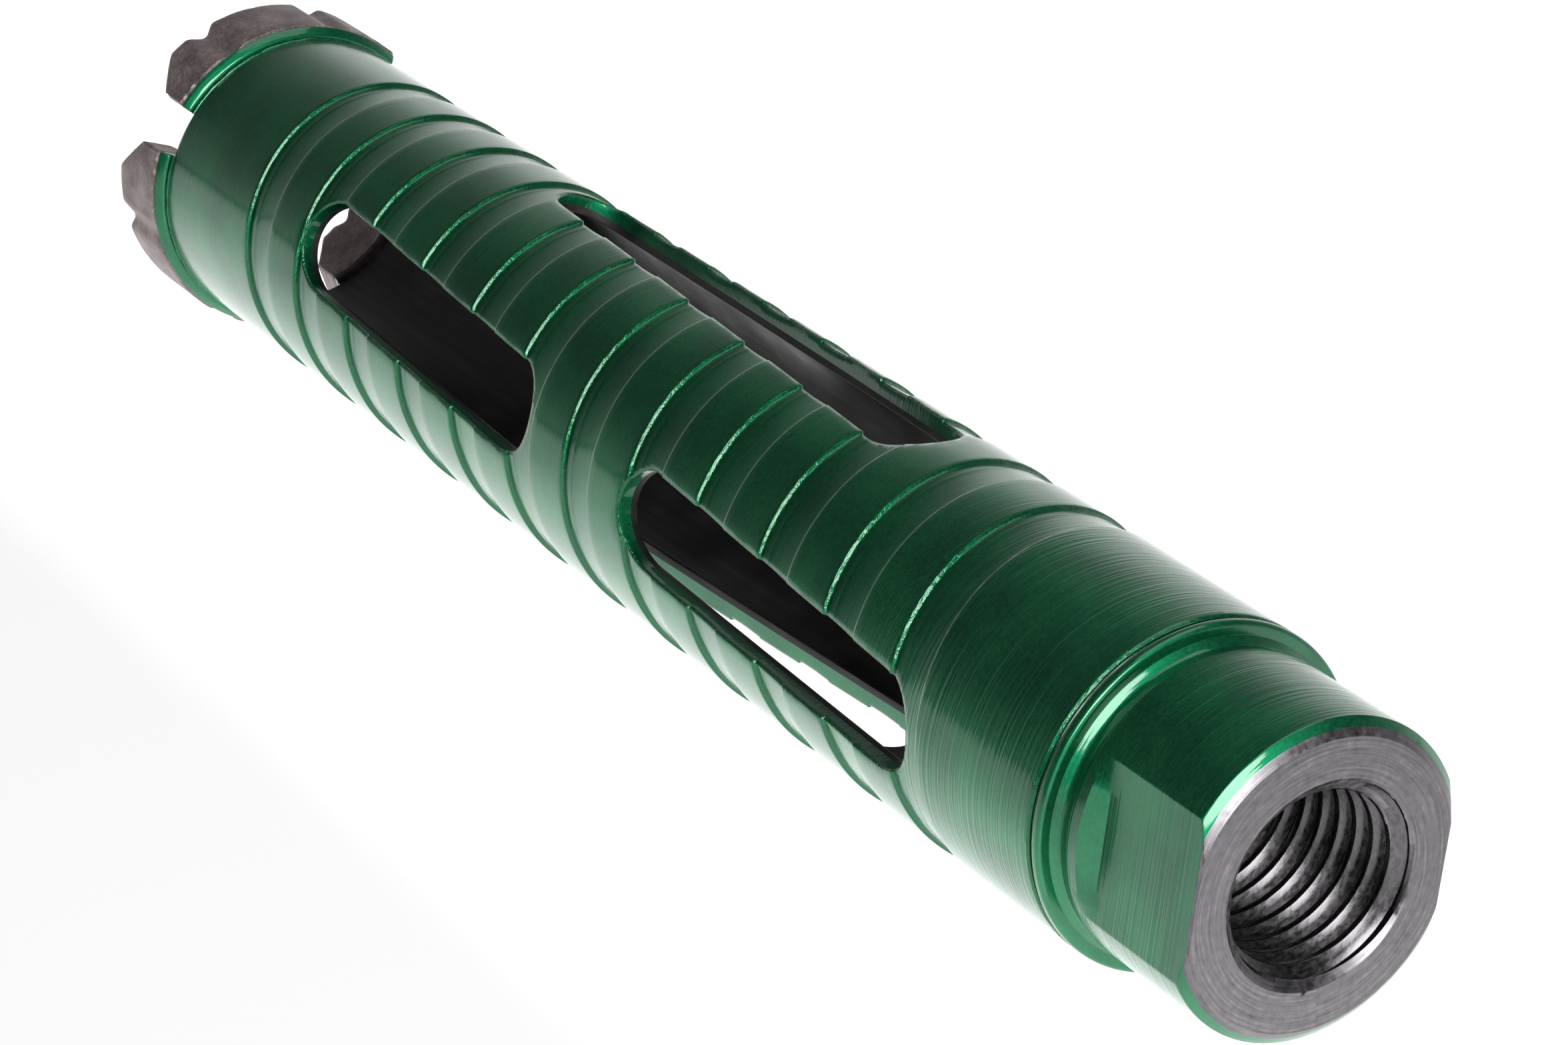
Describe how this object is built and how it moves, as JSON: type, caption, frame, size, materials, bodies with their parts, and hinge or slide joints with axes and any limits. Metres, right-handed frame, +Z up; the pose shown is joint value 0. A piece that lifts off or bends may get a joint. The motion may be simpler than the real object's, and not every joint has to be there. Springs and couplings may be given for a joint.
{
  "type": "dry diamond core drill bit",
  "caption": "Dry diamond core bit: fluted and slotted steel tube, crown of sintered segments, and a hub with wrench flats and an internal spindle thread.",
  "frame": {"origin": "centre of the hub's mounting face, on the spin axis", "axes": "+X along the spin axis, out of the hub towards the drill; the crown is at -X; +Z up as the bit lies on its side"},
  "size_m": [0.17, 0.0302, 0.0302],
  "materials": {
    "lacquered_steel": "translucent green gloss lacquer over turned steel",
    "bare_steel": "turned, uncoated",
    "filler_metal": "brazed joint under the lacquer",
    "weld_metal": "laser weld under the lacquer",
    "sintered_metal": "sintered, slightly porous, with diamond grit"
  },
  "bodies": {
    "root": {"threaded_hub": "lacquered_steel", "hub_braze_ring": "filler_metal", "barrel_tube": "lacquered_steel", "segment_1_weld_seam": "weld_metal", "segment_1_foot": "lacquered_steel", "segment_1_cutting_layer": "sintered_metal", "segment_2_weld_seam": "weld_metal", "segment_2_foot": "lacquered_steel", "segment_2_cutting_layer": "sintered_metal", "segment_3_weld_seam": "weld_metal", "segment_3_foot": "lacquered_steel", "segment_3_cutting_layer": "sintered_metal"}
  },
  "joints": []
}
